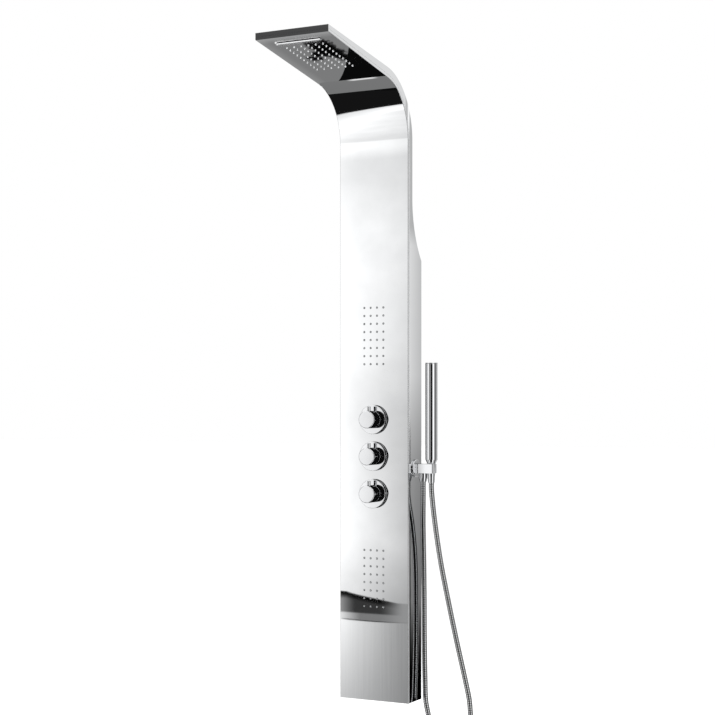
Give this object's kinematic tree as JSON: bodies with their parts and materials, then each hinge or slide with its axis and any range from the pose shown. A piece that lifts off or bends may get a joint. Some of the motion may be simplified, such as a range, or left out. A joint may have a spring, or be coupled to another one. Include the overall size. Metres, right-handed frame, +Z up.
{
  "type": "shower column",
  "caption": "Wall-hung rainfall shower column with a curved head, waterfall slot, body jets, turning valve knobs and a hand shower on a metal hose.",
  "frame": {"origin": "middle of the upper wall bracket's back face, on the wall plane", "axes": "+Z up, +Y into the wall, so the front face looks along -Y; +X to the user's right, towards the hand shower"},
  "size_m": [0.3579, 0.512, 1.8127],
  "materials": {
    "panel_steel": "mirror-polished stainless sheet",
    "chrome": "polished chrome plate",
    "hose_steel": "bright interlocked metal hose",
    "silicone": "pale grey silicone",
    "zinc_steel": "zinc-plated sheet steel",
    "plastic": "moulded engineering plastic",
    "brass": "turned and cast brass",
    "copper": "drawn copper tube"
  },
  "bodies": {
    "root": {"cold_inlet_nut": "brass", "cold_inlet_pipe": "copper", "diverter_bonnet_nut": "brass", "diverter_cartridge": "plastic", "diverter_escutcheon": "chrome", "flow_bonnet_nut": "brass", "flow_cartridge": "plastic", "flow_escutcheon": "chrome", "front_panel": "panel_steel", "hand_shower_pipe": "copper", "hanger_bar_lower": "zinc_steel", "hanger_bar_upper": "zinc_steel", "holder_arm": "chrome", "holder_flange": "chrome", "holder_locknut": "brass", "holder_tail": "brass", "hot_inlet_nut": "brass", "hot_inlet_pipe": "copper", "lower_jet_chamber": "plastic", "lower_jet_mat": "silicone", "lower_jet_pipe": "copper", "outlet_ferrule": "chrome", "outlet_nut": "chrome", "rain_chamber": "zinc_steel", "rain_nozzle_mat": "silicone", "rain_pipe": "copper", "rear_casing": "panel_steel", "shower_hose": "hose_steel", "temperature_bonnet_nut": "brass", "temperature_cartridge": "plastic", "temperature_escutcheon": "chrome", "upper_jet_chamber": "plastic", "upper_jet_mat": "silicone", "upper_jet_pipe": "copper", "valve_manifold": "brass", "wall_bracket_lower": "zinc_steel", "wall_bracket_upper": "zinc_steel", "waterfall_chamber": "zinc_steel", "waterfall_pipe": "copper", "waterfall_spout": "chrome"},
    "diverter_control": {"diverter_knob": "chrome", "diverter_lever": "chrome", "diverter_spindle": "brass"},
    "flow_control": {"flow_knob": "chrome", "flow_lever": "chrome", "flow_spindle": "brass"},
    "temperature_control": {"temperature_knob": "chrome", "temperature_lever": "chrome", "temperature_spindle": "brass"},
    "hose_end": {"handset_ferrule": "chrome"},
    "hand_shower": {"hose_cone_nut": "chrome", "hand_shower_handle": "chrome", "hand_shower_spray_face": "plastic", "hand_shower_end_cap": "chrome"}
  },
  "joints": [
    {"name": "diverter_turn", "type": "hinge", "parent": "root", "child": "diverter_control", "pos_m": [0, -0.108, -0.334], "axis": [0, -1, 0], "range_deg": [-120, 120]},
    {"name": "flow_turn", "type": "hinge", "parent": "root", "child": "flow_control", "pos_m": [0, -0.108, -0.43], "axis": [0, -1, 0], "range_deg": [0, 90]},
    {"name": "temperature_turn", "type": "hinge", "parent": "root", "child": "temperature_control", "pos_m": [0, -0.108, -0.528], "axis": [0, -1, 0], "range_deg": [-135, 135]},
    {"name": "hand_shower_lift", "type": "slide", "parent": "root", "child": "hose_end", "axis": [0, 0, 1], "range_m": [0, 0.05]},
    {"name": "hand_shower_turn", "type": "hinge", "parent": "hose_end", "child": "hand_shower", "pos_m": [0.146, -0.036, -0.4615], "axis": [0, 0, 1], "continuous": true}
  ]
}
